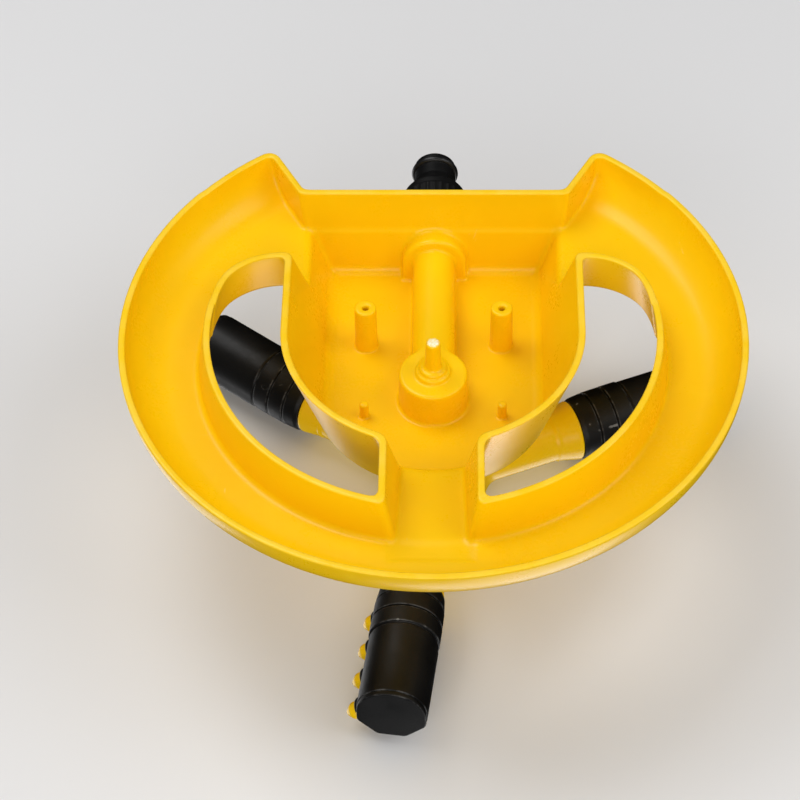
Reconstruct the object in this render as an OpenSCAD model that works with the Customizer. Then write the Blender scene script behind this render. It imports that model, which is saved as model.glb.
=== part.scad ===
// Rotary lawn sprinkler: a one-piece moulded ring base with a central tub,
// an inlet adapter at the rear, and a free-turning rotor with three
// twistable spray heads. Millimetres, +Z up, standing on the rim at z = 0.
// The origin is on the rotor axis at ground level; the inlet points along +Y.

/* [Base ring] */
// Outer radius of the ring at the rim
base_r = 107.5; // [104:0.5:112]
// Height of the ring's flat top
ring_h = 18.5; // [17:0.5:20]
// Radius at which the ring's top starts to roll over towards the rim
roll_r = 91.5; // [89:0.5:94]
// Wall thickness of the moulding
wall = 2.4; // [2:0.1:2.8]
// Radius of the hand holes' outer edge at the rim
hole_r = 76.2; // [75:0.2:78]
// Width of the bridge between the tub and the ring, at the rim
bridge_w = 34.8; // [30:0.4:38]

/* [Tub] */
// Outer radius of the tub at the rim
tub_r = 52.3; // [51:0.1:53]
// Outer radius of the tub at its roof
tub_top_r = 39.7; // [38:0.1:41]
// Height of the tub's roof
tub_h = 39; // [38:0.5:41]
// Distance of the tub's rear wall behind the rotor axis, at the rim
back_y = 67.9; // [67:0.1:69]
// Radius of the water cup under the roof
cup_r = 12; // [11.5:0.1:13]
// Radius of the water pipe moulded under the roof
pipe_r = 7.65; // [7.4:0.05:8]

/* [Inlet] */
// Height of the inlet axis
inlet_z = 28.7; // [28.2:0.1:28.9]
// Reach of the inlet nose behind the rotor axis
inlet_reach = 110.5; // [109.5:0.5:111]
// Radius of the inlet nose
nose_r = 7.6; // [7.5:0.05:7.8]
// Radius of the knurled grip
grip_r = 12.3; // [12:0.1:12.8]

/* [Rotor] */
// Height of the arm axes
arm_z = 77.4; // [76:0.2:79]
// Direction of the first arm, in degrees from +X
first_arm = -82.6; // [-180:0.1:180]
// Radius of an arm's tube
tube_r = 9; // [9:0.1:9.6]
// Radius of an arm's flared socket
socket_r = 11.2; // [11:0.1:11.8]
// Distance from the rotor axis to an arm's socket edge
socket_s = 55.5; // [55:0.5:56]

/* [Spray heads] */
// Distance from the rotor axis to a head's end face
head_reach = 107; // [106.5:0.1:107.5]
// Distance across the flats of a head
head_af = 24.2; // [23.8:0.1:24.8]
// Number of nozzles on a head
nozzle_n = 4; // [2:1:4]
// Spacing of the nozzles
nozzle_pitch = 12.3; // [10:0.1:12.3]
// Bore of a nozzle
jet_d = 1.1; // [0.8:0.1:1.6]

/* [Hidden] */
$fn = 72;
YEL = [0.99, 0.77, 0.01];
BLK = [0.07, 0.07, 0.07];

ring_in = ring_h - wall;              // underside of the ring's top
roof_in = tub_h - wall;               // ceiling inside the tub
side_in = wall * 0.97;                // sideways wall at the drafted tub
draft_t = (tub_r - tub_top_r) / tub_h;// draft of the tub's sides
draft_b = 0.063;                      // draft of the tub's rear wall
draft_h = 0.147;                      // draft of the holes' walls
horn_x = 46.5;                        // where the rear wall meets the horns
tip = [60.6, 82.0];                   // centre of a horn's rounded tip
tip_r = 5.4;
boss_x = 24.1; boss_y = 26.2;         // screw bosses in the tub
stub_r = 10;                          // radius of the threaded stub
pin_y = -7.6;                         // locating pins in the tub
hole_c = [53.2, 12.2]; hole_cr = 22.2;// rounded far end of a hand hole
arms = [first_arm, first_arm + 120, first_arm + 240];

// Points of a quarter ellipse from the flat top down to the rim
function roll(r0, z1, a, n = 12) =
    [for (i = [0:n]) let (t = 90 * i / n) [r0 + a * sin(t), z1 * cos(t)]];
// Points along an arc
function arc(c, r, a0, a1, n) =
    [for (i = [0:n]) let (t = a0 + (a1 - a0) * i / n) c + r * [cos(t), sin(t)]];
function mirrored(p) = [for (i = [len(p) - 1:-1:0]) [-p[i][0], p[i][1]]];

// Along-X and along-Y prisms
module prism_x(x0, x1) translate([x0, 0, 0]) rotate([90, 0, 90]) linear_extrude(x1 - x0) children();
module prism_y(y0, y1) translate([0, y1, 0]) rotate([90, 0, 0]) linear_extrude(y1 - y0) children();

// The ring's domed disc, before it is opened out
module dish(r, h, z0)
    rotate_extrude($fn = 120) polygon(concat([[0, z0], [0, h]], roll(roll_r, h, r - roll_r), z0 < 0 ? [[r, z0]] : []));

// Plan of the whole base, cut at the rear by the tub's wall and the two horns
module plan(off) {
    u = [0.487, 0.873];
    right = concat([[horn_x + 0.587 * off, back_y - off]],
                   arc(tip, tip_r - off, 150.8, 53.5, 8),
                   [140 * [cos(53.5), sin(53.5)], [140, 60], [140, -140]]);
    polygon(concat(right, mirrored(right)));
}

// One hand hole, wider than the opening where the tub and bridge cross it
module hole_one(off) intersection() {
    translate([0, 0, -1]) cylinder(h = 22, r1 = hole_r + off - draft_h, r2 = hole_r + off + 21 * draft_h, $fn = 120);
    union() {
        translate([hole_c[0], hole_c[1], -1])
            cylinder(h = 22, r1 = hole_cr + off - draft_h, r2 = hole_cr + off + 21 * draft_h);
        translate([0, -90, -2]) cube([90, 90 + hole_c[1] + 0.7, 24]);
    }
}
module holes(off) { hole_one(off); mirror([1, 0, 0]) hole_one(off); }

// The tub: half a cone in front, straight drafted sides behind
module tub(off, z0, h, yb) {
    a0 = tub_r - off - z0 * draft_t;
    a1 = tub_r - off - h * draft_t;
    rotate([0, 0, 180]) rotate_extrude(angle = 180, $fn = 120)
        polygon([[0, z0], [a0, z0], [a1, h], [0, h]]);
    intersection() {
        prism_y(0, 80) polygon([[-a0, z0], [a0, z0], [a1, h], [-a1, h]]);
        prism_x(-90, 90) polygon([[-1, z0 - 1], [yb - (z0 - 1) * draft_b, z0 - 1], [yb - (h + 1) * draft_b, h + 1], [-1, h + 1]]);
    }
}
// What lies behind the drafted rear wall, between the horns
module behind(y0, hw) prism_x(-hw, hw)
    polygon([[y0 + 2 * draft_b, -2], [140, -2], [140, 30], [y0 - 30 * draft_b, 30]]);

module bridge(off, z0, hi, lo) {
    hw = bridge_w / 2 - off;
    intersection() {
        prism_y(-86 - (z0 < 0 ? 2 : 0), -32) polygon([[-hw + z0 * 0.19, z0], [hw - z0 * 0.19, z0], [hw - hi * 0.19, hi], [-hw + hi * 0.19, hi]]);
        prism_x(-30, 30) polygon([[-95, z0 - 1], [-30, z0 - 1], [-30, hi], [-43, hi], [-83, lo], [-95, lo]]);
    }
}

module base() color(YEL) difference() {
    union() {
        difference() {
            union() {
                difference() {
                    intersection() {
                        dish(base_r, ring_h, 0);
                        translate([0, 0, -1]) linear_extrude(60) plan(0);
                    }
                    holes(0);
                    behind(back_y, horn_x);
                }
                tub(0, 0, tub_h, back_y);
                bridge(0, 0, 25.4, ring_h - 0.05);
            }
            difference() {
                intersection() {
                    dish(base_r - wall, ring_in, -1);
                    translate([0, 0, -2]) linear_extrude(60) plan(wall);
                }
                holes(wall);
                behind(back_y - wall, horn_x + 0.587 * wall);
            }
            tub(side_in, -1, roof_in, back_y - wall);
            bridge(2.2, -1, 23, ring_in - 0.05);
        }
        // pedestal that carries the spindle
        translate([0, 0, tub_h - 0.5]) cylinder(h = 13.5, r1 = 16.5, r2 = 13);
        // water cup under the roof, with its stepped post
        translate([0, 0, 22.6]) cylinder(h = roof_in - 22.1, r = cup_r);
        translate([0, 0, 20.9]) cylinder(h = 2.2, r = 6.1);
        translate([0, 0, 19.4]) cylinder(h = 2, r = 4.8);
        translate([0, 0, 7.6]) cylinder(h = 12.5, r1 = 2.5, r2 = 2.9);
        translate([0, 0, 6.8]) cylinder(h = 0.9, r1 = 1.6, r2 = 2.5);
        // water pipe along the ceiling, its collar, and the threaded stub outside
        translate([0, 66, inlet_z]) rotate([90, 0, 0]) cylinder(h = 60, r = pipe_r);
        translate([-pipe_r + 0.2, 5, inlet_z]) cube([2 * pipe_r - 0.4, 60, roof_in - inlet_z + 0.5]);
        translate([-11.45, 58.5, inlet_z]) cube([22.9, 6.5, roof_in - inlet_z + 0.5]);
        intersection() {
            translate([0, 65.5, inlet_z]) rotate([90, 0, 0]) cylinder(h = 7, r = 11.65);
            translate([-20, 40, 10]) cube([40, 30, tub_h - 11]);
        }
        translate([0, 80, inlet_z]) rotate([90, 0, 0]) cylinder(h = 15, r = stub_r);
        // screw bosses and locating pins
        for (s = [-1, 1]) {
            translate([s * boss_x, boss_y, 17.2]) cylinder(h = roof_in - 16.7, r = 3.9, $fn = 48);
            translate([s * boss_x, pin_y, 30.2]) cylinder(h = roof_in - 29.7, r = 1.6, $fn = 32);
        }
    }
    // waterway: stub and pipe, cup, and the spindle's socket
    translate([0, 81, inlet_z]) rotate([90, 0, 0]) cylinder(h = 81, r = 4.4, $fn = 48);
    translate([0, 81, inlet_z]) rotate([90, 0, 0]) cylinder(h = 13, r = 6, $fn = 48);
    translate([0, 0, 25]) cylinder(h = 20, r = 6.6, $fn = 48);
    translate([0, 0, 44]) cylinder(h = 20, r = 8, $fn = 48);
    // pilot holes in the screw bosses
    for (s = [-1, 1]) translate([s * boss_x, boss_y, 16]) cylinder(h = 16, r = 1.45, $fn = 32);
}

// Click adapter: knurled nut on the stub, cone, neck and nose with an O-ring groove
module inlet_connector() color(BLK) translate([0, 0, inlet_z]) difference() {
    union() {
        rotate([-90, 0, 0]) rotate_extrude() polygon([[0, 67.2], [grip_r - 0.9, 67.2], [grip_r - 0.3, 68], [grip_r - 0.3, 92.6],
            [grip_r - 0.9, 94], [nose_r + 0.5, 99.4], [nose_r + 0.3, 100], [nose_r, 100.2],
            [nose_r, 105.4], [nose_r - 1.6, 105.4], [nose_r - 1.6, 108.2], [nose_r, 108.2],
            [nose_r, inlet_reach - 0.7], [nose_r - 0.6, inlet_reach], [0, inlet_reach]]);
        // knurled grip
        for (i = [0:29]) rotate([0, i * 12, 0])
            translate([grip_r - 0.75, 69, -0.55]) cube([1.05, 21.6, 1.1]);
    }
    rotate([-90, 0, 0]) translate([0, 0, 60]) cylinder(h = 22, r = stub_r);
    rotate([-90, 0, 0]) translate([0, 0, 60]) cylinder(h = 60, r = 4.6, $fn = 48);
}
module o_ring(r, c) rotate_extrude() translate([r, 0]) circle(r = c, $fn = 32);
module connector_o_ring() color("black") translate([0, 106.8, inlet_z]) rotate([90, 0, 0]) o_ring(nose_r - 0.22, 1.3);
module inlet_washer() color("dimgray") translate([0, 80, inlet_z]) rotate([-90, 0, 0]) difference() {
    cylinder(h = 2, r = stub_r);
    translate([0, 0, -1]) cylinder(h = 4, r = 5.2, $fn = 48);
}
// Strainer cup pushed into the mouth of the stub
module inlet_filter() color("whitesmoke") translate([0, 80, inlet_z]) rotate([90, 0, 0]) difference() {
    cylinder(h = 11.8, r = 5.95, $fn = 48);
    translate([0, 0, -1]) cylinder(h = 11.3, r = 5, $fn = 48);
    for (i = [0:2]) rotate([0, 0, i * 60]) translate([-8, -1.2, 3]) cube([16, 2.4, 6]);
    for (x = [-2.4, 0, 2.4]) translate([x - 0.5, -3, 9]) cube([1, 6, 4]);
}

// Hollow spindle, pressed into the pedestal
module spindle() color("gainsboro") difference() {
    union() {
        translate([0, 0, 44]) cylinder(h = 8.1, r = 8, $fn = 48);
        translate([0, 0, 52]) cylinder(h = 1.5, r = 12.4);
        translate([0, 0, 53]) cylinder(h = 33, r = 6.5);
    }
    translate([0, 0, 43]) cylinder(h = 36.8, r = 4.2, $fn = 48);
    for (a = arms) rotate([0, 0, a]) translate([0, 0, arm_z]) rotate([0, 90, 0]) cylinder(h = 10, r = 2.2, $fn = 32);
    translate([0, 0, 46.6]) difference() { cylinder(h = 2.4, r = 9); translate([0, 0, -1]) cylinder(h = 5, r = 6.4); }
    translate([0, 0, 81]) cylinder(h = 6, r = 1.45, $fn = 32);
}
module spindle_o_ring() color("black") translate([0, 0, 47.8]) rotate_extrude() translate([6.42, -1]) square([1.56, 2]);
module thrust_washer() color("ivory") translate([0, 0, 53.5]) difference() {
    cylinder(h = 0.9, r = 10);
    translate([0, 0, -1]) cylinder(h = 3, r = 6.8);
}
module retaining_washer() color("silver") translate([0, 0, 86]) difference() {
    cylinder(h = 1, r = 9.2);
    translate([0, 0, -1]) cylinder(h = 3, r = 1.8, $fn = 32);
}
module retaining_screw() color("silver") difference() {
    union() {
        translate([0, 0, 87]) cylinder(h = 1.6, r = 3.6, $fn = 40);
        translate([0, 0, 82]) cylinder(h = 5.2, r = 1.45, $fn = 32);
    }
    for (a = [0, 90]) rotate([0, 0, a]) translate([-1.9, -0.4, 87.6]) cube([3.8, 0.8, 2]);
}

// Rotor: hub barrel, water chamber and three arms with flared sockets
module rotor_hub() color(YEL) difference() {
    union() {
        rotate_extrude() polygon([[0, 56], [15, 56], [16.5, 58], [18.5, 66], [19, 70], [19, 85],
            [18, 87.6], [17, 88.4], [0, 88.4]]);
        for (a = arms) rotate([0, 0, a]) translate([0, 0, arm_z]) rotate([0, 90, 0]) rotate_extrude()
            polygon([[0, 8], [tube_r, 8], [tube_r, 46.8], [tube_r + 0.5, 47.6], [socket_r, socket_s], [0, socket_s]]);
    }
    // bore for the bush, seal seat, chamber, upper bearing and screw recess
    translate([0, 0, 55]) cylinder(h = 14.2, r = 9);
    translate([0, 0, 69]) cylinder(h = 3.1, r = 9);
    translate([0, 0, 72]) cylinder(h = 10.6, r = 12);
    translate([0, 0, 82]) cylinder(h = 5, r = 6.56);
    translate([0, 0, 85.6]) cylinder(h = 4, r = 13);
    for (a = arms) rotate([0, 0, a]) translate([0, 0, arm_z]) rotate([0, 90, 0]) {
        translate([0, 0, 8]) cylinder(h = 40, r = 4.8, $fn = 48);
        translate([0, 0, 42]) cylinder(h = 20, r = 7.56);
    }
}
module hub_bush() color("ivory") difference() {
    union() {
        translate([0, 0, 56]) cylinder(h = 12.9, r = 9);
        translate([0, 0, 54.6]) cylinder(h = 1.4, r = 12);
    }
    translate([0, 0, 50]) cylinder(h = 24, r = 6.56);
}
module hub_seal() color("black") translate([0, 0, 69]) difference() {
    cylinder(h = 3, r = 9);
    translate([0, 0, -1]) cylinder(h = 6, r = 6.58);
}
module hub_cap() color(BLK) rotate_extrude() polygon([[0, 89.6], [11.4, 89.6], [11.4, 86.4], [13, 86.4], [13, 88.4], [16.2, 88.4],
    [16.2, 89.2], [15.2, 90.4], [11, 91.4], [6, 91.9], [0, 92.1]]);

// ---- one spray head, built along +X and then turned into place ----
// The nozzles face 35 degrees up, to the left of the outward direction.
module place(i) rotate([0, 0, arms[i]]) translate([0, 0, arm_z]) children();
// Outline of a head: flats on the upper half, round below
module outline(af) {
    r = af / 2; c = r * tan(22.5);
    polygon(concat([[r, c], [c, r], [-c, r], [-r, c]], arc([0, 0], r, 180, 360, 20)));
}
function nozzle_s(k) = 81.6 + (k - (nozzle_n - 1) / 2) * nozzle_pitch;

module head_shell() {
    rotate([0, 90, 0]) rotate_extrude() polygon([[0, 44], [7.1, 44], [7.5, 44.6], [7.5, 49], [6.2, 49], [6.2, 51.4], [7.5, 51.4],
        [7.5, socket_s + 0.3], [10.9, socket_s + 0.3], [11.6, 57.2], [12.1, 61.8], [11.6, 61.9], [11.6, 62.5], [12.3, 62.6], [12.3, 68.8],
        [11.7, 68.9], [11.7, 69.5], [12.4, 69.6], [12.4, 76], [11.6, 76.1], [11.6, 77], [0, 77]]);
    translate([76.6, 0, 0]) rotate([90, 0, 90]) linear_extrude(head_reach - 2 - 76.6) outline(head_af);
}
module lean() rotate([-55, 0, 0]) children(); // local +Z leans to +Y
module strip_slot() lean() translate([57.5, -3.5, 7.6]) cube([head_reach - 2 - 57.5, 7, 2]);
module spray_body(i) color(BLK) place(i) difference() {
    union() {
        head_shell();
        for (k = [0:nozzle_n - 1]) lean() translate([nozzle_s(k), 0, 9.9]) cylinder(h = 4.3, r1 = 4.6, r2 = 4, $fn = 40);
    }
    rotate([0, 90, 0]) translate([0, 0, 40]) cylinder(h = 80, r = 5, $fn = 48);
    strip_slot();
    lean() translate([head_reach - 3.6, -4.3, 7.4]) cube([4, 7.4, 9]);
    for (k = [0:nozzle_n - 1]) lean() translate([nozzle_s(k), 0, 0]) {
        translate([0, 0, 9]) cylinder(h = 8, r = 3.1, $fn = 32);
        cylinder(h = 9, r = jet_d / 2 + 0.6, $fn = 24);
    }
}
module nozzle_strip(i) color(YEL) place(i) difference() {
    union() {
        strip_slot();
        lean() translate([head_reach - 3.5, -4.2, 7.6]) cube([1.45, 7.2, 6.1]);
        for (k = [0:nozzle_n - 1]) lean() translate([nozzle_s(k), 0, 0]) {
            translate([0, 0, 9]) cylinder(h = 7.7, r = 3.1, $fn = 32);
            translate([0, 0, 16.7]) cylinder(h = 2, r1 = 3.1, r2 = 1.7, $fn = 32);
            translate([0, 0, 18.7]) cylinder(h = 0.8, r1 = 1.7, r2 = 0.9, $fn = 32);
        }
    }
    for (k = [0:nozzle_n - 1]) lean() translate([nozzle_s(k), 0, 0]) cylinder(h = 25, r = jet_d / 2, $fn = 24);
}
module end_cap(i) color(BLK) place(i) difference() {
    union() {
        translate([head_reach - 2, 0, 0]) rotate([90, 0, 90]) linear_extrude(2) outline(head_af - 0.6);
        rotate([0, 90, 0]) translate([0, 0, 96]) cylinder(h = head_reach - 97, r = 5, $fn = 48);
    }
    rotate([0, 90, 0]) translate([0, 0, 95]) cylinder(h = 9, r = 3.4, $fn = 32);
}
module head_o_ring(i) color("black") place(i) rotate([0, 90, 0]) translate([0, 0, 50.2]) rotate_extrude() translate([6.22, -1.1]) square([1.26, 2.2]);

base();
inlet_connector();
connector_o_ring();
inlet_washer();
inlet_filter();
spindle();
spindle_o_ring();
thrust_washer();
retaining_washer();
retaining_screw();
rotor_hub();
hub_bush();
hub_seal();
hub_cap();
spray_body(0);  // spray_body_front
nozzle_strip(0);  // nozzle_strip_front
end_cap(0);  // end_cap_front
head_o_ring(0);  // head_o_ring_front
spray_body(1);  // spray_body_right
nozzle_strip(1);  // nozzle_strip_right
end_cap(1);  // end_cap_right
head_o_ring(1);  // head_o_ring_right
spray_body(2);  // spray_body_left
nozzle_strip(2);  // nozzle_strip_left
end_cap(2);  // end_cap_left
head_o_ring(2);  // head_o_ring_left
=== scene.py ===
import math
import bpy
import numpy as np
from mathutils import Matrix, Vector


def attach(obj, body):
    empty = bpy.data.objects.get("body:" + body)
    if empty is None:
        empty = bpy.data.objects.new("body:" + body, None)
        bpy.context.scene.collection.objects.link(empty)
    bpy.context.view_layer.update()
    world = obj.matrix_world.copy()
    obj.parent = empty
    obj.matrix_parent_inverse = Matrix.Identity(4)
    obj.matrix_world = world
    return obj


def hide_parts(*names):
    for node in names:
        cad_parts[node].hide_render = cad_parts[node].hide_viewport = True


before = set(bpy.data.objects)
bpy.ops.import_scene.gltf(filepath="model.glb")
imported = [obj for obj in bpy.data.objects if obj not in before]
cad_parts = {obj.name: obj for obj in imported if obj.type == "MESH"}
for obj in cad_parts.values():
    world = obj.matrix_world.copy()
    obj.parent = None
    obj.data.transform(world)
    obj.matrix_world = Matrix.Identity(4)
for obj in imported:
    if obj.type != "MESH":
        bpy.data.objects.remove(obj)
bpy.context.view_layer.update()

# ---------------------------------------------------------------- surfaces --
# Every moulded piece is described by a smooth distance function in millimetres
# and meshed by surface nets, with each vertex moved onto the true surface, so
# fillets and rounded edges are real geometry.


def smin(a, b, k):
    h = np.maximum(k - np.abs(a - b), 0.0) / k
    return np.minimum(a, b) - h * h * k * 0.25


def smax(a, b, k):
    return -smin(-a, -b, k)


def rmax(a, b, r):
    """Intersection with a circular edge of radius r."""
    return np.minimum(np.maximum(a, b), -r) + np.hypot(np.maximum(a + r, 0), np.maximum(b + r, 0))


def rev(r, z, pts):
    """Signed distance to the closed polygon pts in the (r, z) plane."""
    d = np.full(np.broadcast(r, z).shape, 1e9)
    inside = np.ones(d.shape, bool) & False
    n = len(pts)
    for i in range(n):
        ax, ay = pts[i]
        bx, by = pts[(i + 1) % n]
        ex, ey = bx - ax, by - ay
        L = ex * ex + ey * ey
        if L < 1e-12:
            continue
        wx, wy = r - ax, z - ay
        t = np.clip((wx * ex + wy * ey) / L, 0, 1)
        d = np.minimum(d, (wx - ex * t) ** 2 + (wy - ey * t) ** 2)
        if ay != by:
            c = ((ay > z) != (by > z)) & (r < ax + (z - ay) * ex / ey)
            inside ^= c
    d = np.sqrt(d)
    return np.where(inside, -d, d)


def nets(f, lo, hi, h, block=8):
    """Quads of the surface f = 0 inside a box, by surface nets on a sparse grid."""
    lo, hi = np.array(lo, float), np.array(hi, float)
    nb = np.ceil((hi - lo) / (h * block)).astype(int)
    n = nb * block + 1
    big = np.full(tuple(n), 1e3, np.float32)
    reach = block * h * 0.5 * math.sqrt(3) * 1.35 + h
    g = np.stack(np.meshgrid(*[np.arange(k) for k in nb], indexing="ij"), -1).reshape(-1, 3)
    c = lo + (g + 0.5) * block * h
    v = f(c[:, 0], c[:, 1], c[:, 2])
    far_in = g[v < -reach]
    near = g[np.abs(v) <= reach]
    ar = np.arange(block + 1)
    for b in far_in:
        s = b * block
        big[s[0]:s[0] + block + 1, s[1]:s[1] + block + 1, s[2]:s[2] + block + 1] = -1e3
    off = np.stack(np.meshgrid(ar, ar, ar, indexing="ij"), -1).reshape(-1, 3)
    step = 400
    for i in range(0, len(near), step):
        part = near[i:i + step]
        idx = (part[:, None, :] * block + off[None]).reshape(-1, 3)
        p = lo + idx * h
        big[idx[:, 0], idx[:, 1], idx[:, 2]] = f(p[:, 0], p[:, 1], p[:, 2]).astype(np.float32)
    s = big < 0
    # cells with a sign change
    corners = [(a, b, d) for a in (0, 1) for b in (0, 1) for d in (0, 1)]
    m = [s[a:n[0] - 1 + a, b:n[1] - 1 + b, d:n[2] - 1 + d] for a, b, d in corners]
    any_, all_ = m[0].copy(), m[0].copy()
    for q in m[1:]:
        any_ |= q
        all_ &= q
    cells = np.argwhere(any_ & ~all_)
    ids = np.full(tuple(n - 1), -1, np.int64)
    ids[cells[:, 0], cells[:, 1], cells[:, 2]] = np.arange(len(cells))
    vals = np.stack([big[cells[:, 0] + a, cells[:, 1] + b, cells[:, 2] + d] for a, b, d in corners], 1)
    acc = np.zeros((len(cells), 3))
    cnt = np.zeros(len(cells))
    cs = np.array(corners, float)
    for i in range(8):
        for j in range(i + 1, 8):
            if abs(cs[i] - cs[j]).sum() != 1:
                continue
            a, b = vals[:, i], vals[:, j]
            x = (a < 0) != (b < 0)
            t = np.where(x, a / np.where(x, a - b, 1), 0)[:, None]
            acc += np.where(x[:, None], cs[i] + t * (cs[j] - cs[i]), 0)
            cnt += x
    verts = lo + (cells + acc / cnt[:, None]) * h
    # quads round each crossing edge
    quads = []
    for ax in range(3):
        u, w = (ax + 1) % 3, (ax + 2) % 3
        sl0 = [slice(1, n[k] - 1) for k in range(3)]
        sl0[ax] = slice(0, n[ax] - 1)
        sl1 = list(sl0)
        sl1[ax] = slice(1, n[ax])
        a, b = s[tuple(sl0)], s[tuple(sl1)]
        e = np.argwhere(a != b)
        flip = a[e[:, 0], e[:, 1], e[:, 2]]
        base = np.ones(3, int)
        base[ax] = 0
        e = e + base
        du, dw = np.eye(3, dtype=int)[u], np.eye(3, dtype=int)[w]
        q = [e - du - dw, e - dw, e, e - du]
        q = np.stack([ids[k[:, 0], k[:, 1], k[:, 2]] for k in q], 1)
        q[~flip] = q[~flip][:, ::-1]
        quads.append(q)
    quads = np.vstack(quads)
    quads = quads[(quads >= 0).all(1)]
    # onto the true surface
    for _ in range(4):
        val = np.concatenate([f(*c.T) for c in np.array_split(verts, max(1, len(verts) // 60000))])
        grad = gradient(f, verts, 0.02)
        g2 = np.maximum((grad ** 2).sum(1), 0.2)
        move = -(val / g2)[:, None] * grad
        ln = np.linalg.norm(move, axis=1, keepdims=True)
        verts = verts + move * np.minimum(1, 0.4 * h / np.maximum(ln, 1e-9))
    return verts, quads


def gradient(f, p, e):
    out = []
    for c in np.array_split(p, max(1, len(p) // 60000)):
        x, y, z = c.T
        out.append(np.stack([(f(x + e, y, z) - f(x - e, y, z)), (f(x, y + e, z) - f(x, y - e, z)), (f(x, y, z + e) - f(x, y, z - e))], 1) / (2 * e))
    return np.vstack(out)


def mesh_object(name, verts, faces, mat, smooth=True):
    me = bpy.data.meshes.new(name)
    v = np.asarray(verts, float) / 1000.0
    q = np.asarray(faces, np.int32)
    me.vertices.add(len(v))
    me.vertices.foreach_set("co", v.astype(np.float32).ravel())
    k = q.shape[1]
    me.loops.add(q.size)
    me.loops.foreach_set("vertex_index", q.ravel())
    me.polygons.add(len(q))
    me.polygons.foreach_set("loop_start", np.arange(0, q.size, k, dtype=np.int32))
    me.update(calc_edges=True)
    me.validate()
    me.polygons.foreach_set("use_smooth", np.full(len(me.polygons), smooth))
    me.materials.append(mat)
    me.update()
    ob = bpy.data.objects.new(name, me)
    bpy.context.scene.collection.objects.link(ob)
    return ob


def solid(name, f, lo, hi, h, mat, body, node, turn=None, move=None):
    v, q = nets(f, lo, hi, h)
    return place(name, v, q, mat, body, node, turn, move)


def place(name, v, q, mat, body, node, turn=None, move=None):
    if turn is not None:
        c, s = math.cos(math.radians(turn)), math.sin(math.radians(turn))
        v = v @ np.array([[c, s, 0], [-s, c, 0], [0, 0, 1]])
    if move is not None:
        v = v + np.array(move)
    ob = mesh_object(name, v, q, mat)
    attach(ob, body)
    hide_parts(*([node] if isinstance(node, str) else node))
    return ob

# ------------------------------------------------------------------- base --
TUB_T = (52.3 - 39.7) / 39.0
COS_T = 1 / math.hypot(1, TUB_T)


def mould(x, y, z):
    """Outer surface of the base moulding, open at the bottom."""
    ax = np.abs(x)
    r = np.hypot(x, y)
    # domed ring: flat top, rolling over to the rim
    a, b = 16.0, 18.5
    u = np.maximum(r - 91.5, 0)
    zz = np.maximum(z, -2.0)
    e = np.hypot(u / a, zz / b)
    gl = np.hypot(u / (a * a), zz / (b * b))
    roll = np.where(u > 0, (e - 1) * e / np.maximum(gl, 1e-6), z - b)
    dish = np.where((u > 0) & (z < 0), u - a, roll)
    dish = np.clip(dish, -60, 60)
    # rear outline: drafted wall between the horns, rounded horn tips
    rear = (y - (67.9 - 0.063 * z)) * 0.998
    horn = (ax - 46.5) * -0.873 + (y - 67.9) * 0.487 - 0.03 * z
    horn = rmax(horn, r - 107.45, 5.4)
    low = smin(rear, horn, 1.6)
    ring = smax(dish, low, 1.6)
    # hand holes
    far = (r - (76.2 + 0.147 * z)) * 0.989
    c2 = np.hypot(ax - 53.2, y - 12.2) - (22.2 + 0.147 * z)
    end = np.minimum(c2, y - 12.9)
    hole = smax(far, end, 2.0)
    ring = smax(ring, -hole, 2.2)
    # tub
    re = np.hypot(ax, np.minimum(y, 0))
    side = (re - (52.3 - TUB_T * z)) * COS_T
    tub = rmax(side, rear, 4.4)
    tub = rmax(tub, z - 39.0, 5.6)
    # bridge
    top = np.where(y > -43, 25.4, 25.4 - (-43 - y) * 6.9 / 40.0)
    br = smax((ax - (17.4 - 0.19 * z)) * 0.98, (z - top) * 0.985, 2.0)
    br = np.maximum(br, np.maximum(-88 - y, y + 33))
    s = smin(ring, tub, 2.6)
    return smin(s, br, 3.4)


def rod(x, y, z, px, py, r):
    return np.hypot(x - px, y - py) - r


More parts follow.
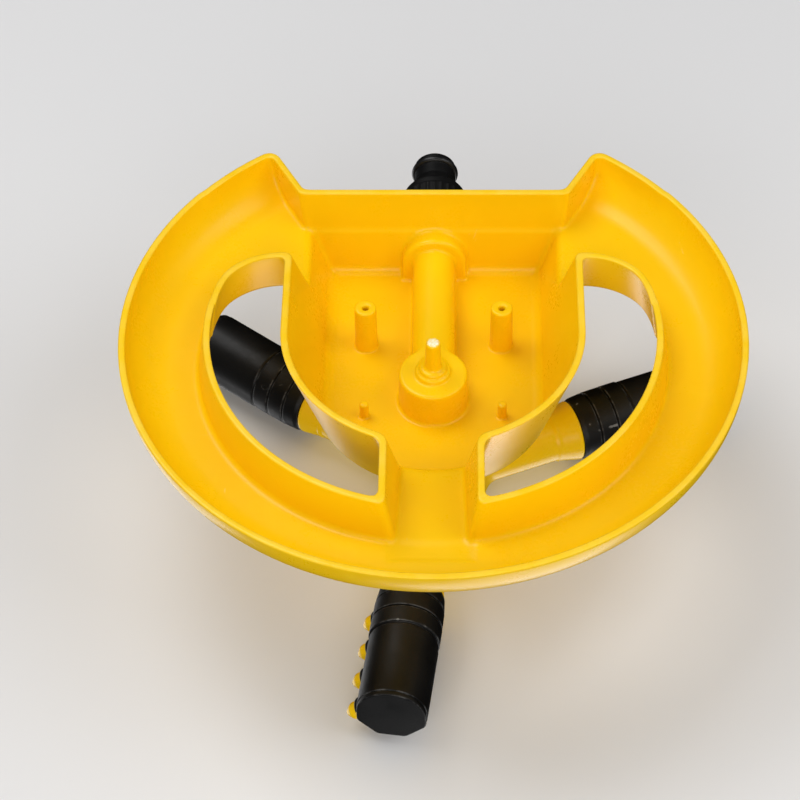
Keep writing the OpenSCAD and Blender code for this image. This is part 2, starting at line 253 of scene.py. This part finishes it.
def base_f(x, y, z):
    m = mould(x, y, z)
    shell = smax(m, -(m + 2.36), 0.5)
    ax = np.abs(x)
    r = np.hypot(x, y)
    ceil = z - 37.2
    # pedestal for the spindle
    ped = smax(smax((r - (16.5 - 0.259 * (z - 38.5))) * 0.968, z - 52.0, 0.8), 37.5 - z, 0.2)
    s = smin(shell, ped, np.clip((z - 37.4) * 1.6, 0.05, 3.0))
    # water cup with its stepped post, under the roof
    cup = smax(smax(r - 12.0 - 0.012 * (z - 22.6), 22.6 - z, 1.3), ceil, 0.2)
    ring1 = smax(smax(r - 6.1, 20.9 - z, 0.7), z - 24, 0.2)
    ring2 = smax(smax(r - 4.8, 19.4 - z, 0.8), z - 22, 0.2)
    post = smax(smax(r - (2.5 + 0.03 * (z - 7)), 7.0 - z + 0.10 * np.sin(3.1 * x + 1) + 0.12 * np.sin(2.7 * y), 0.9), z - 21, 0.2)
    stem = smin(smin(ring2, post, 1.6), ring1, 0.6)
    cup = smin(cup, stem, 0.9)
    # water pipe along the ceiling, with the collar at the rear wall
    q = np.hypot(x, z - 28.7)
    legs = np.where(z > 28.7, np.abs(x), q)
    pipe = smax(smax(smax(legs - 7.6, y - 66.5, 0.2), -2 - y, 0.2), z - 38, 0.2)
    col = smax(smax(legs - 11.6, 58.6 - y, 1.6), y - 66.0, 0.2)
    col = smax(col, z - 38, 0.2)
    # screw bosses and pins
    bd = np.hypot(ax - 24.1, y - 26.2)
    boss = smax(smax(bd - 3.85 - 0.012 * (z - 17), 17.2 - z, 0.7), ceil, 0.2)
    pd = np.hypot(ax - 24.1, y + 7.6)
    pin = smax(smax(pd - 1.6, 30.2 - z, 0.8), ceil, 0.2)
    inner = smin(smin(cup, pipe, 1.4), col, 1.2)
    s = smin(s, inner, 1.5)
    s = smin(s, np.minimum(boss, pin), 0.7)
    # threaded stub behind the wall
    th = 0.32 * np.abs(np.mod(y * 0.55 + np.arctan2(z - 28.7, x) / (2 * math.pi), 1.0) - 0.5)
    stub = smax(smax(q - 9.85 + th, y - 80.0, 0.6), 64.5 - y, 0.2)
    s = np.minimum(s, stub)
    # waterway, spindle socket and pilot holes
    s = smax(s, -np.maximum(q - 4.4, np.maximum(-1 - y, y - 90)), 0.2)
    s = smax(s, -np.maximum(q - 6.0, 68 - y), 0.3)
    s = smax(s, -np.maximum(r - 6.6, np.maximum(25 - z, z - 46)), 0.2)
    s = smax(s, -np.maximum(r - 8.0, 44 - z), 0.3)
    s = smax(s, -np.maximum(bd - 1.15, np.maximum(10 - z, z - 24)), 0.9)
    return smax(s, -z, 0.55)


# ------------------------------------------------------------------ rotor --
ARMS = [-82.6, 37.4, 157.4]


def flute(x, y, n, depth):
    t = np.arctan2(y, x)
    return depth * (0.5 - 0.5 * np.cos(n * t)) ** 2


def arm_frame(x, y, a):
    c, s = math.cos(math.radians(a)), math.sin(math.radians(a))
    return x * c + y * s, -x * s + y * c


def hub_f(x, y, z):
    r = np.hypot(x, y)
    prof = [(-30, 56), (15, 56), (16.5, 58), (18.5, 66), (19, 70), (19, 85), (18, 87.6), (16.9, 88.4), (-30, 88.4)]
    s = rev(r, z, prof)
    arms = None
    for a in ARMS:
        u, w = arm_frame(x, y, a)
        q = np.hypot(w, z - 77.4)
        rad = 9.0 + smin(np.maximum((u - 45.6) * 0.24, 0), 2.25 + 0 * u, 0.4) + 0.5 * np.exp(-((u - 46.6) / 0.6) ** 2) * 0.5
        d = (q - rad) * 0.97
        d = smax(d, u - 55.5, 0.9)
        d = smax(d, -u, 0.2)
        # socket, with a lead-in
        d = smax(d, -np.maximum(q - 7.56 - 0.35 * np.maximum(u - 54.6, 0), 42 - u), 0.35)
        arms = d if arms is None else np.minimum(arms, d)
    s = smin(s, arms, 4.5)
    for a in ARMS:
        u, w = arm_frame(x, y, a)
        q = np.hypot(w, z - 77.4)
        s = smax(s, -np.maximum(q - 4.8, np.maximum(8 - u, u - 60)), 0.2)
        s = smax(s, -np.maximum(q - 7.56, np.maximum(42 - u, u - 60)), 0.2)
    for rr, z0, z1 in ((9.0, 50, 72), (12, 72, 82), (6.56, 80, 90), (13.0, 85.6, 95)):
        s = smax(s, -np.maximum(r - rr, np.maximum(z0 - z, z - z1)), 0.3)
    return s


LEAN_C, LEAN_S = math.cos(math.radians(35)), math.sin(math.radians(35))


def octo(v, w, h, k):
    """Outline of a head: flats on the upper half, round below."""
    q = 0.70710678
    a, b = np.abs(v), np.abs(w)
    return np.where(w > 0, rmax(rmax(a - h, b - h, k), (a + b) * q - h, k), np.hypot(v, w) - h)


def head_f(u, v, w):
    """One head along +u: v lateral, w up. The nozzles lean to +v and +w."""
    q = np.hypot(v, w)
    prof = [(-20, 44), (7.1, 44), (7.5, 44.6), (7.5, 49), (6.2, 49), (6.2, 51.4), (7.5, 51.4), (7.5, 55.8),
            (10.9, 55.8), (11.55, 57.2), (12.0, 61.4), (12.0, 61.8), (11.25, 62.0), (11.25, 62.5), (12.15, 62.75), (12.25, 68.4),
            (12.25, 68.8), (11.45, 69.0), (11.45, 69.5), (12.3, 69.75), (12.35, 75.4), (12.35, 75.8), (11.5, 76.0), (11.5, 77.5), (-20, 77.5)]
    s = rev(q, u, prof) - 0.12
    # body
    body = octo(v, w, 12.1, 1.3)
    body = smax(body, 76.75 - u, 0.5)
    body = smax(body, u - 105.0, 0.25)
    s = smin(s, body, 0.35)
    n = v * LEAN_C + w * LEAN_S
    t = v * LEAN_S - w * LEAN_C
    for k in range(4):
        su = 81.6 + (k - 1.5) * 12.3
        d = np.hypot(u - su, t)
        c = smax(smax((d - (4.6 - 0.15 * (n - 10))) * 0.99, n - 14.2, 0.5), 6 - n, 0.2)
        s = smin(s, c, 0.9)
    for k in range(4):
        su = 81.6 + (k - 1.5) * 12.3
        d = np.hypot(u - su, t)
        s = smax(s, -np.maximum(d - 3.12, np.maximum(9 - n, n - 20)), 0.25)
    # bore and strip slot
    s = smax(s, -np.maximum(q - 5.0, u - 200), 0.2)
    slot = np.maximum(np.maximum(np.abs(t) - 3.5, np.abs(n - 8.6) - 1.0), 57.5 - u)
    s = smax(s, -slot, 0.2)
    notch = np.maximum(np.maximum(np.abs(t + 0.6) - 3.7, 7.6 - n), 103.4 - u)
    return smax(s, -notch, 0.25)


def strip_f(u, v, w):
    n = v * LEAN_C + w * LEAN_S
    t = v * LEAN_S - w * LEAN_C
    bar = smax(smax(np.abs(t) - 3.46, np.abs(n - 8.6) - 0.97, 0.3), np.maximum(57.6 - u, u - 104.9), 0.3)
    tab = smax(smax(np.abs(t + 0.6) - 3.55, np.abs(n - 10.7) - 3.0, 0.6), np.abs(u - 104.22) - 0.72, 0.4)
    s = smin(bar, tab, 0.3)
    for k in range(4):
        su = 81.6 + (k - 1.5) * 12.3
        d = np.hypot(u - su, t)
        c = smax(smax(d - 3.08, (d - 3.1 + 0.80 * (n - 16.9)) * 0.78, 0.6), n - 19.6, 0.5)
        c = smax(c, 8.6 - n, 0.2)
        s = smin(s, c, 0.3)
        s = smax(s, -np.maximum(d - 0.6, 0 * d - 5), 0.25)
    return s


def cap_f(u, v, w):
    q = np.hypot(v, w)
    plate = octo(v, w, 11.9, 0.9)
    plate = smax(plate, u - 107.0 + 0.0009 * q * q, 0.45)
    plate = smax(plate, 105.02 - u, 0.2)
    plug = smax(smax(q - 4.98, 96 - u, 0.5), u - 106, 0.2)
    plug = smax(plug, -np.maximum(q - 3.4, u - 104), 0.3)
    return np.minimum(plate, plug)


def adapter_f(x, y, z):
    """Click adapter along +y about z = 28.7."""
    dz = z - 28.7
    q = np.hypot(x, dz)
    pr = [(-20, 67.2), (11.2, 67.2), (12.0, 68.0), (12.0, 90.4), (11.5, 91.0), (11.5, 93.4), (10.9, 94.2), (8.15, 99.4), (7.9, 99.9), (7.6, 100.3),
          (7.6, 105.35), (6.1, 105.45), (6.1, 108.15), (7.6, 108.25), (7.6, 109.8), (7.0, 110.5), (-20, 110.5)]
    s = rev(q, y, pr) - 0.05
    t = np.arctan2(x, dz)
    k = 30
    seg = 2 * math.pi / k
    tt = np.mod(t + seg / 2, seg) - seg / 2
    rib = np.hypot(q - 11.75, tt * 12.0) - 0.62
    rib = smax(rib, np.maximum(69.2 - y, y - 90.2), 0.8)
    s = smin(s, rib, 0.35)
    s = smax(s, -np.maximum(q - 10.0, y - 82), 0.3)
    return smax(s, -np.maximum(q - 4.6, 60 - y), 0.6)


def lathe(name, pts, mat, body, node, at=(0, 0, 0), axis="z", n=96, turn=None, closed=True):
    """A turned ring or disc from a closed (r, h) outline; the outline carries any rounding of the edges."""
    pts = np.array(pts, float)
    k = len(pts)
    ang = np.arange(n) * 2 * math.pi / n
    v = np.stack([np.outer(np.cos(ang), pts[:, 0]), np.outer(np.sin(ang), pts[:, 0]), np.tile(pts[:, 1], (n, 1))], -1).reshape(-1, 3)
    q = []
    for i in range(n):
        j = (i + 1) % n
        for a in range(k):
            b = (a + 1) % k
            q.append((i * k + a, j * k + a, j * k + b, i * k + b))
    if axis == "y":
        v = v[:, [0, 2, 1]] * [1, 1, -1]
    if axis == "x":
        v = v[:, [2, 0, 1]]
    v = v + np.array(at)
    return place(name, v, np.array(q), mat, body, node, turn, None)


def rounded(pts, r, n=4):
    """The outline with each corner rounded by up to r."""
    p = np.array(pts, float)
    out = []
    k = len(p)
    for i in range(k):
        a, b, c = p[i - 1], p[i], p[(i + 1) % k]
        da, dc = np.linalg.norm(a - b), np.linalg.norm(c - b)
        m = min(r, da * 0.45, dc * 0.45)
        s, e = b + (a - b) / da * m, b + (c - b) / dc * m
        for j in range(n + 1):
            t = j / n
            out.append((1 - t) ** 2 * s + 2 * t * (1 - t) * b + t * t * e)
    return np.array(out)

# -------------------------------------------------------------- materials --


class Net:
    def __init__(self, name):
        self.m = bpy.data.materials.new(name)
        self.m.use_nodes = True
        self.t = self.m.node_tree
        self.t.nodes.clear()
        self.out = self.t.nodes.new("ShaderNodeOutputMaterial")
        self.b = self.t.nodes.new("ShaderNodeBsdfPrincipled")
        self.t.links.new(self.b.outputs[0], self.out.inputs[0])
        self.co = self.t.nodes.new("ShaderNodeTexCoord").outputs["Object"]

    def link(self, a, b):
        self.t.links.new(a, b)

    def put(self, socket, v):
        if isinstance(v, bpy.types.NodeSocket):
            self.link(v, socket)
        else:
            socket.default_value = v

    def scaled(self, s):
        n = self.t.nodes.new("ShaderNodeMapping")
        n.inputs["Scale"].default_value = s
        self.link(self.co, n.inputs["Vector"])
        return n.outputs[0]

    def noise(self, scale, detail=3.0, rough=0.55, dist=0.0, vec=None):
        n = self.t.nodes.new("ShaderNodeTexNoise")
        n.inputs["Scale"].default_value = scale
        n.inputs["Detail"].default_value = detail
        n.inputs["Roughness"].default_value = rough
        n.inputs["Distortion"].default_value = dist
        self.link(self.co if vec is None else vec, n.inputs["Vector"])
        return n.outputs["Fac"]

    def voronoi(self, scale, feature="F1", vec=None):
        n = self.t.nodes.new("ShaderNodeTexVoronoi")
        n.feature = feature
        n.inputs["Scale"].default_value = scale
        self.link(self.co if vec is None else vec, n.inputs["Vector"])
        return n.outputs["Distance"]

    def remap(self, v, a, b, c=0.0, d=1.0, smooth=False):
        n = self.t.nodes.new("ShaderNodeMapRange")
        if smooth:
            n.interpolation_type = "SMOOTHSTEP"
        self.put(n.inputs["Value"], v)
        for k, x in zip(("From Min", "From Max", "To Min", "To Max"), (a, b, c, d)):
            n.inputs[k].default_value = x
        return n.outputs[0]

    def math(self, op, a, b=0.0, clamp=False):
        n = self.t.nodes.new("ShaderNodeMath")
        n.operation = op
        n.use_clamp = clamp
        self.put(n.inputs[0], a)
        self.put(n.inputs[1], b)
        return n.outputs[0]

    def mix(self, fac, a, b):
        n = self.t.nodes.new("ShaderNodeMix")
        n.data_type = "RGBA"
        self.put(n.inputs[0], fac)
        self.put(n.inputs[6], a)
        self.put(n.inputs[7], b)
        return n.outputs[2]

    def xyz(self):
        n = self.t.nodes.new("ShaderNodeSeparateXYZ")
        self.link(self.co, n.inputs[0])
        return n.outputs

    def bump(self, height, dist, strength=1.0, normal=None):
        n = self.t.nodes.new("ShaderNodeBump")
        n.inputs["Distance"].default_value = dist
        n.inputs["Strength"].default_value = strength
        self.link(height, n.inputs["Height"])
        if normal is not None:
            self.link(normal, n.inputs["Normal"])
        return n.outputs[0]

    def set(self, **kw):
        for k, v in kw.items():
            self.put(self.b.inputs[k.replace("_", " ")], v)
        return self.m


def yellow(name, gate=False):
    k = Net(name)
    broad = k.noise(14, 3, 0.5, 0.6)
    flow = k.noise(1.0, 3, 0.6, 0.8, k.scaled((60, 24, 60)))
    fine = k.noise(900, 2, 0.5)
    speck = k.remap(k.voronoi(330), 0.05, 0.09, 1, 0, True)
    keep = k.remap(k.noise(60, 2, 0.5), 0.60, 0.66, 0, 1, True)
    dust = k.math("MULTIPLY", speck, keep)
    col = k.mix(k.remap(broad, 0.35, 0.65), (0.93, 0.560, 0.0012, 1), (0.965, 0.600, 0.0016, 1))
    col = k.mix(k.remap(flow, 0.56, 0.74, 0, 0.35), col, (0.98, 0.64, 0.006, 1))
    # pale hairline scuffs from handling
    hair = k.noise(1.0, 4, 0.62, 1.4, k.scaled((36, 420, 200)))
    hair2 = k.noise(1.0, 4, 0.62, 1.4, k.scaled((380, 44, 200)))
    scr = k.math("MAXIMUM", k.remap(hair, 0.700, 0.735, 0, 1), k.remap(hair2, 0.705, 0.74, 0, 1))
    scr = k.math("MULTIPLY", scr, k.remap(k.noise(22, 2, 0.5), 0.5, 0.62, 0, 0.5))
    col = k.mix(scr, col, (0.99, 0.72, 0.16, 1))
    col = k.mix(k.math("MULTIPLY", dust, 0.05), col, (0.60, 0.30, 0.02, 1))
    rough = k.remap(k.noise(40, 4, 0.6), 0.3, 0.7, 0.25, 0.36)
    rough = k.math("ADD", rough, k.math("MULTIPLY", scr, 0.25))
    rough = k.math("ADD", rough, k.remap(fine, 0.3, 0.7, -0.025, 0.025))
    if gate:
        x, y, z = k.xyz()
        rr = k.math("SQRT", k.math("ADD", k.math("MULTIPLY", x, x), k.math("MULTIPLY", y, y)))
        rr = k.math("ADD", rr, k.remap(k.noise(700, 3, 0.7), 0, 1, -0.0012, 0.0012))
        near = k.math("MULTIPLY", k.remap(rr, 0.0015, 0.0023, 1, 0, True), k.remap(z, 0.0070, 0.0078, 1, 0, True))
        pale = k.math("MULTIPLY", near, k.remap(k.noise(900, 3, 0.7), 0.36, 0.56, 0.45, 1.0))
        col = k.mix(pale, col, (0.94, 0.90, 0.66, 1))
        rough = k.math("ADD", rough, k.math("MULTIPLY", pale, 0.3))
        # painted highlight: the rim's bottom face is painted paler yellow, in patches
        edge = k.math("MULTIPLY", k.remap(z, 0.0002, 0.0006, 1, 0, True), k.remap(k.noise(90, 4, 0.6), 0.40, 0.62, 0.10, 0.55))
        col = k.mix(edge, col, (0.99, 0.66, 0.07, 1))
    peel = k.noise(210, 2, 0.5)
    b1 = k.bump(peel, 0.00010, 0.32)
    b2 = k.bump(fine, 0.00002, 0.25, b1)
    b3 = k.bump(scr, 0.00003, 0.4, b2)
    return k.set(Base_Color=col, Roughness=rough, Normal=b3, IOR=1.49, Specular_IOR_Level=0.24,
                 Subsurface_Weight=0.06, Subsurface_Scale=0.0018, Subsurface_Radius=(1.0, 0.62, 0.10), Coat_Weight=0.03, Coat_Roughness=0.14)


def black(name, grain=1.0, highlight_and_scuff=1.0):
    k = Net(name)
    geo = k.t.nodes.new("ShaderNodeNewGeometry")
    pt = k.remap(geo.outputs["Pointiness"], 0.515, 0.60, 0, 1)
    broad = k.noise(55, 4, 0.6, 0.5)
    spark = k.noise(1500, 3, 0.62)
    fibre = k.noise(1.0, 4, 0.7, 1.0, k.scaled((520, 520, 70)))
    streak = k.noise(1.0, 4, 0.7, 1.2, k.scaled((90, 650, 500)))
    marks = k.math("MAXIMUM", k.remap(streak, 0.66, 0.73, 0, 1), k.remap(fibre, 0.68, 0.75, 0, 1))
    zone = k.remap(k.noise(70, 3, 0.55), 0.50, 0.62, 0, 1, True)
    marks = k.math("MULTIPLY", marks, zone)
    # painted highlight: convex edges found by pointiness are painted pale grey, mixed with real scuff marks from the
    # streak and fibre noise; the last argument scales both
    edge_highlight_and_wear = k.math("MULTIPLY", pt, k.remap(k.noise(260, 4, 0.65), 0.40, 0.62, 0, 1, True))
    edge_highlight_and_wear = k.math("MULTIPLY", k.math("MAXIMUM", k.math("MULTIPLY", edge_highlight_and_wear, 0.85), k.math("MULTIPLY", marks, 0.45)), highlight_and_scuff)
    col = k.mix(k.remap(broad, 0.35, 0.65), (0.0040, 0.0040, 0.0042, 1), (0.0070, 0.0068, 0.0068, 1))
    col = k.mix(k.remap(spark, 0.58, 0.78, 0, 0.5), col, (0.015, 0.015, 0.0155, 1))
    col = k.mix(edge_highlight_and_wear, col, (0.20, 0.20, 0.195, 1))
    rough = k.remap(k.noise(110, 4, 0.6), 0.3, 0.7, 0.38, 0.54)
    rough = k.math("ADD", rough, k.math("MULTIPLY", edge_highlight_and_wear, 0.15))
    b1 = k.bump(spark, 0.00005, 0.45 * grain)
    b2 = k.bump(k.noise(240, 3, 0.5), 0.00010, 0.25, b1)
    b3 = k.bump(marks, 0.00003, 0.4, b2)
    return k.set(Base_Color=col, Roughness=rough, Normal=b3, IOR=1.5, Specular_IOR_Level=0.28)


def rubber(name):
    k = Net(name)
    n = k.noise(320, 4, 0.6)
    col = k.mix(k.remap(n, 0.35, 0.65), (0.006, 0.006, 0.0065, 1), (0.013, 0.013, 0.014, 1))
    bloom = k.remap(k.noise(80, 3, 0.6), 0.55, 0.7, 0, 0.4, True)
    col = k.mix(bloom, col, (0.03, 0.03, 0.031, 1))
    rough = k.remap(k.noise(150, 3, 0.6), 0.3, 0.7, 0.30, 0.46)
    return k.set(Base_Color=col, Roughness=rough, Normal=k.bump(n, 0.00006, 0.4), IOR=1.52)


def acetal(name):
    k = Net(name)
    n = k.noise(120, 3, 0.5)
    col = k.mix(k.remap(n, 0.35, 0.65), (0.76, 0.74, 0.69, 1), (0.84, 0.83, 0.79, 1))
    rough = k.remap(k.noise(300, 3, 0.6), 0.3, 0.7, 0.32, 0.45)
    return k.set(Base_Color=col, Roughness=rough, Normal=k.bump(k.noise(700, 2, 0.5), 0.00003, 0.3), Subsurface_Weight=0.1,
                 Subsurface_Scale=0.002, Subsurface_Radius=(1, 0.9, 0.8))


def steel(name):
    k = Net(name)
    n = k.noise(1.0, 4, 0.7, 0.2, k.scaled((900, 900, 60)))
    col = k.mix(k.remap(n, 0.3, 0.7), (0.46, 0.46, 0.45, 1), (0.66, 0.66, 0.65, 1))
    rough = k.remap(k.noise(500, 3, 0.6), 0.3, 0.7, 0.22, 0.38)
    return k.set(Base_Color=col, Roughness=rough, Metallic=1.0, Normal=k.bump(n, 0.00003, 0.35))


YEL_BASE = yellow("yellow_base", gate=True)
YEL_PART = yellow("yellow_rotor")
BLK_HEAD = black("black_head")
BLK_GRIP = black("black_adapter", 0.8, 0.45)
BLK_CAP = black("black_cap", 1.0, 0.7)
RUB = rubber("black_rubber")
ACE = acetal("white_acetal")
STEEL = steel("plain_steel")

# ----------------------------------------------------------------- pieces --
H = 1.0
solid("base_moulding", base_f, (-109, -109, -1.2), (109, 89, 53), 0.62 * H, YEL_BASE, "base_assembly", "base")
solid("adapter", adapter_f, (-13.4, 66, 15.2), (13.4, 112, 42.2), 0.30 * H, BLK_GRIP, "base_assembly", "inlet_connector")
solid("rotor_moulding", hub_f, (-62, -62, 55), (62, 62, 90), 0.50 * H, YEL_PART, "rotor", "rotor_hub")

HEADS = [("front", ARMS[0]), ("right", ARMS[1]), ("left", ARMS[2])]
hv = nets(head_f, (43, -13.5, -13.5), (106.5, 15.5, 15.5), 0.32 * H)
sv = nets(strip_f, (56.5, 1, 1), (108, 16.5, 16.5), 0.22 * H)
cv = nets(cap_f, (95, -12.6, -12.6), (107.8, 12.6, 12.6), 0.32 * H)
for side, a in HEADS:
    up = (0, 0, 77.4)
    body = "head_" + side
    place("spray_head_" + side, hv[0], hv[1], BLK_HEAD, body, "spray_body_" + side, a, up)
    place("nozzles_" + side, sv[0], sv[1], YEL_PART, body, "nozzle_strip_" + side, a, up)
    place("end_plate_" + side, cv[0], cv[1], BLK_HEAD, body, "end_cap_" + side, a, up)
    lathe("neck_seal_" + side, rounded([(6.22, 49.15), (7.46, 49.15), (7.46, 51.25), (6.22, 51.25)], 0.5), RUB, body,
          "head_o_ring_" + side, at=(0, 0, 77.4), axis="x", n=72, turn=a)


def ring_outline(c, h, r, n=24):
    return [(c + r * math.cos(2 * math.pi * i / n), h + r * math.sin(2 * math.pi * i / n)) for i in range(n)]


lathe("nose_o_ring", ring_outline(7.38, 0, 1.3), RUB, "base_assembly", "connector_o_ring", at=(0, 106.8, 28.7), axis="y", n=144)
lathe("stub_washer", rounded([(5.2, -2), (9.95, -2), (9.95, 0), (5.2, 0)], 0.5), RUB, "base_assembly", "inlet_washer", at=(0, 80, 28.7), axis="y")
lathe("spindle_seal", rounded([(6.45, 46.85), (7.95, 46.85), (7.95, 48.75), (6.45, 48.75)], 0.5), RUB, "base_assembly", "spindle_o_ring")
lathe("thrust_ring", rounded([(6.8, 53.5), (10, 53.5), (10, 54.4), (6.8, 54.4)], 0.25), ACE, "base_assembly", "thrust_washer")
lathe("screw_washer", rounded([(1.8, 86), (9.2, 86), (9.2, 87), (1.8, 87)], 0.3), STEEL, "base_assembly", "retaining_washer")
lathe("bush", rounded([(6.56, 54.6), (12, 54.6), (12, 56), (9, 56), (9, 68.9), (6.56, 68.9)], 0.4), ACE, "rotor", "hub_bush")
lathe("shaft_seal", rounded([(6.6, 69.05), (8.95, 69.05), (8.95, 71.95), (6.6, 71.95)], 0.6), RUB, "rotor", "hub_seal")
lathe("cover_disc", rounded([(0.05, 89.65), (11.4, 89.65), (11.4, 86.4), (12.95, 86.4), (12.95, 88.45), (16.2, 88.45), (16.2, 89.3), (15.2, 90.5), (11.6, 91.35),
                             (10.6, 91.1), (9.6, 91.5), (5, 91.95), (0.05, 92.05)], 0.7), BLK_CAP, "rotor", "hub_cap", n=128)
for node, mat in (("inlet_filter", ACE), ("spindle", ACE), ("retaining_screw", STEEL)):
    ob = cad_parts[node]
    for s in range(max(1, len(ob.material_slots))):
        if ob.material_slots:
            ob.material_slots[s].material = mat
        else:
            ob.data.materials.append(mat)

# ------------------------------------------------------------ camera, stage --
cam_data = bpy.data.cameras.new("camera")
cam_data.lens = 115.97
cam_data.sensor_width = 36
cam_data.clip_start, cam_data.clip_end = 0.01, 50
cam = bpy.data.objects.new("camera", cam_data)
bpy.context.scene.collection.objects.link(cam)
R_ = Vector((-0.999799, 0.014646, 0.013724))
U_ = Vector((0.001869, 0.748749, -0.662851))
F_ = Vector((0.019984, 0.662692, 0.748626))
M = Matrix((R_, U_, -F_)).transposed().to_4x4()
M.translation = Vector((-0.006416, -0.601626, -0.642750))
cam.matrix_world = M
bpy.context.scene.camera = cam


def one_sided(name, z, up, colour, size=14.0):
    v = size / 2
    pts = [(-v, -v, z), (v, -v, z), (v, v, z), (-v, v, z)]
    me = bpy.data.meshes.new(name)
    me.from_pydata(pts, [], [(0, 1, 2, 3) if up else (3, 2, 1, 0)])
    ob = bpy.data.objects.new(name, me)
    bpy.context.scene.collection.objects.link(ob)
    k = Net(name)
    n = k.noise(3.0, 3, 0.5)
    col = k.mix(k.remap(n, 0.3, 0.7), tuple(c * 0.985 for c in colour) + (1,), tuple(min(1, c * 1.01) for c in colour) + (1,))
    k.set(Base_Color=col, Roughness=0.75, Specular_IOR_Level=0.15)
    geo = k.t.nodes.new("ShaderNodeNewGeometry")
    clear = k.t.nodes.new("ShaderNodeBsdfTransparent")
    mix = k.t.nodes.new("ShaderNodeMixShader")
    k.link(geo.outputs["Backfacing"], mix.inputs[0])
    k.link(k.b.outputs[0], mix.inputs[1])
    k.link(clear.outputs[0], mix.inputs[2])
    k.link(mix.outputs[0], k.out.inputs[0])
    me.materials.append(k.m)
    ob.visible_shadow = False
    ob.visible_diffuse = False
    ob.visible_glossy = False
    ob.visible_transmission = False
    return ob


one_sided("pale_sheet", 0.0945, False, (0.74, 0.735, 0.735))
one_sided("pale_floor", -0.0002, True, (0.86, 0.855, 0.855))


def area(name, at, aim, size, power, colour=(1, 1, 1), size_y=None):
    d = bpy.data.lights.new(name, "AREA")
    d.shape = "RECTANGLE"
    d.size, d.size_y = size, size_y or size
    d.energy = power
    d.color = colour
    ob = bpy.data.objects.new(name, d)
    ob.location = at
    ob.rotation_euler = (Vector(aim) - Vector(at)).to_track_quat("-Z", "Y").to_euler()
    bpy.context.scene.collection.objects.link(ob)
    return ob


# below, for the side that the camera sees; above, for the upright views
area("key_below", (0.55, 0.35, -1.35), (0, 0, 0.02), 0.9, 11.0)
area("fill_below", (-0.95, -0.25, -1.0), (0, 0, 0.02), 1.0, 6.5)
area("front_below", (0.1, -1.2, -0.55), (0, 0, 0.03), 1.0, 9.0)
area("key_above", (-0.45, -0.35, 1.55), (0, 0, 0.04), 1.1, 10.0)
area("fill_above", (0.95, 0.45, 1.0), (0, 0, 0.04), 1.0, 6.0)
world = bpy.data.worlds.new("studio")
world.use_nodes = True
bg = world.node_tree.nodes["Background"]
bg.inputs[0].default_value = (0.90, 0.91, 0.93, 1)
bg.inputs[1].default_value = 0.32
world.cycles_visibility.glossy = False
bpy.context.scene.world = world
bpy.context.scene.view_settings.view_transform = "Standard"
bpy.context.scene.view_settings.look = "None"

bpy.context.view_layer.update()
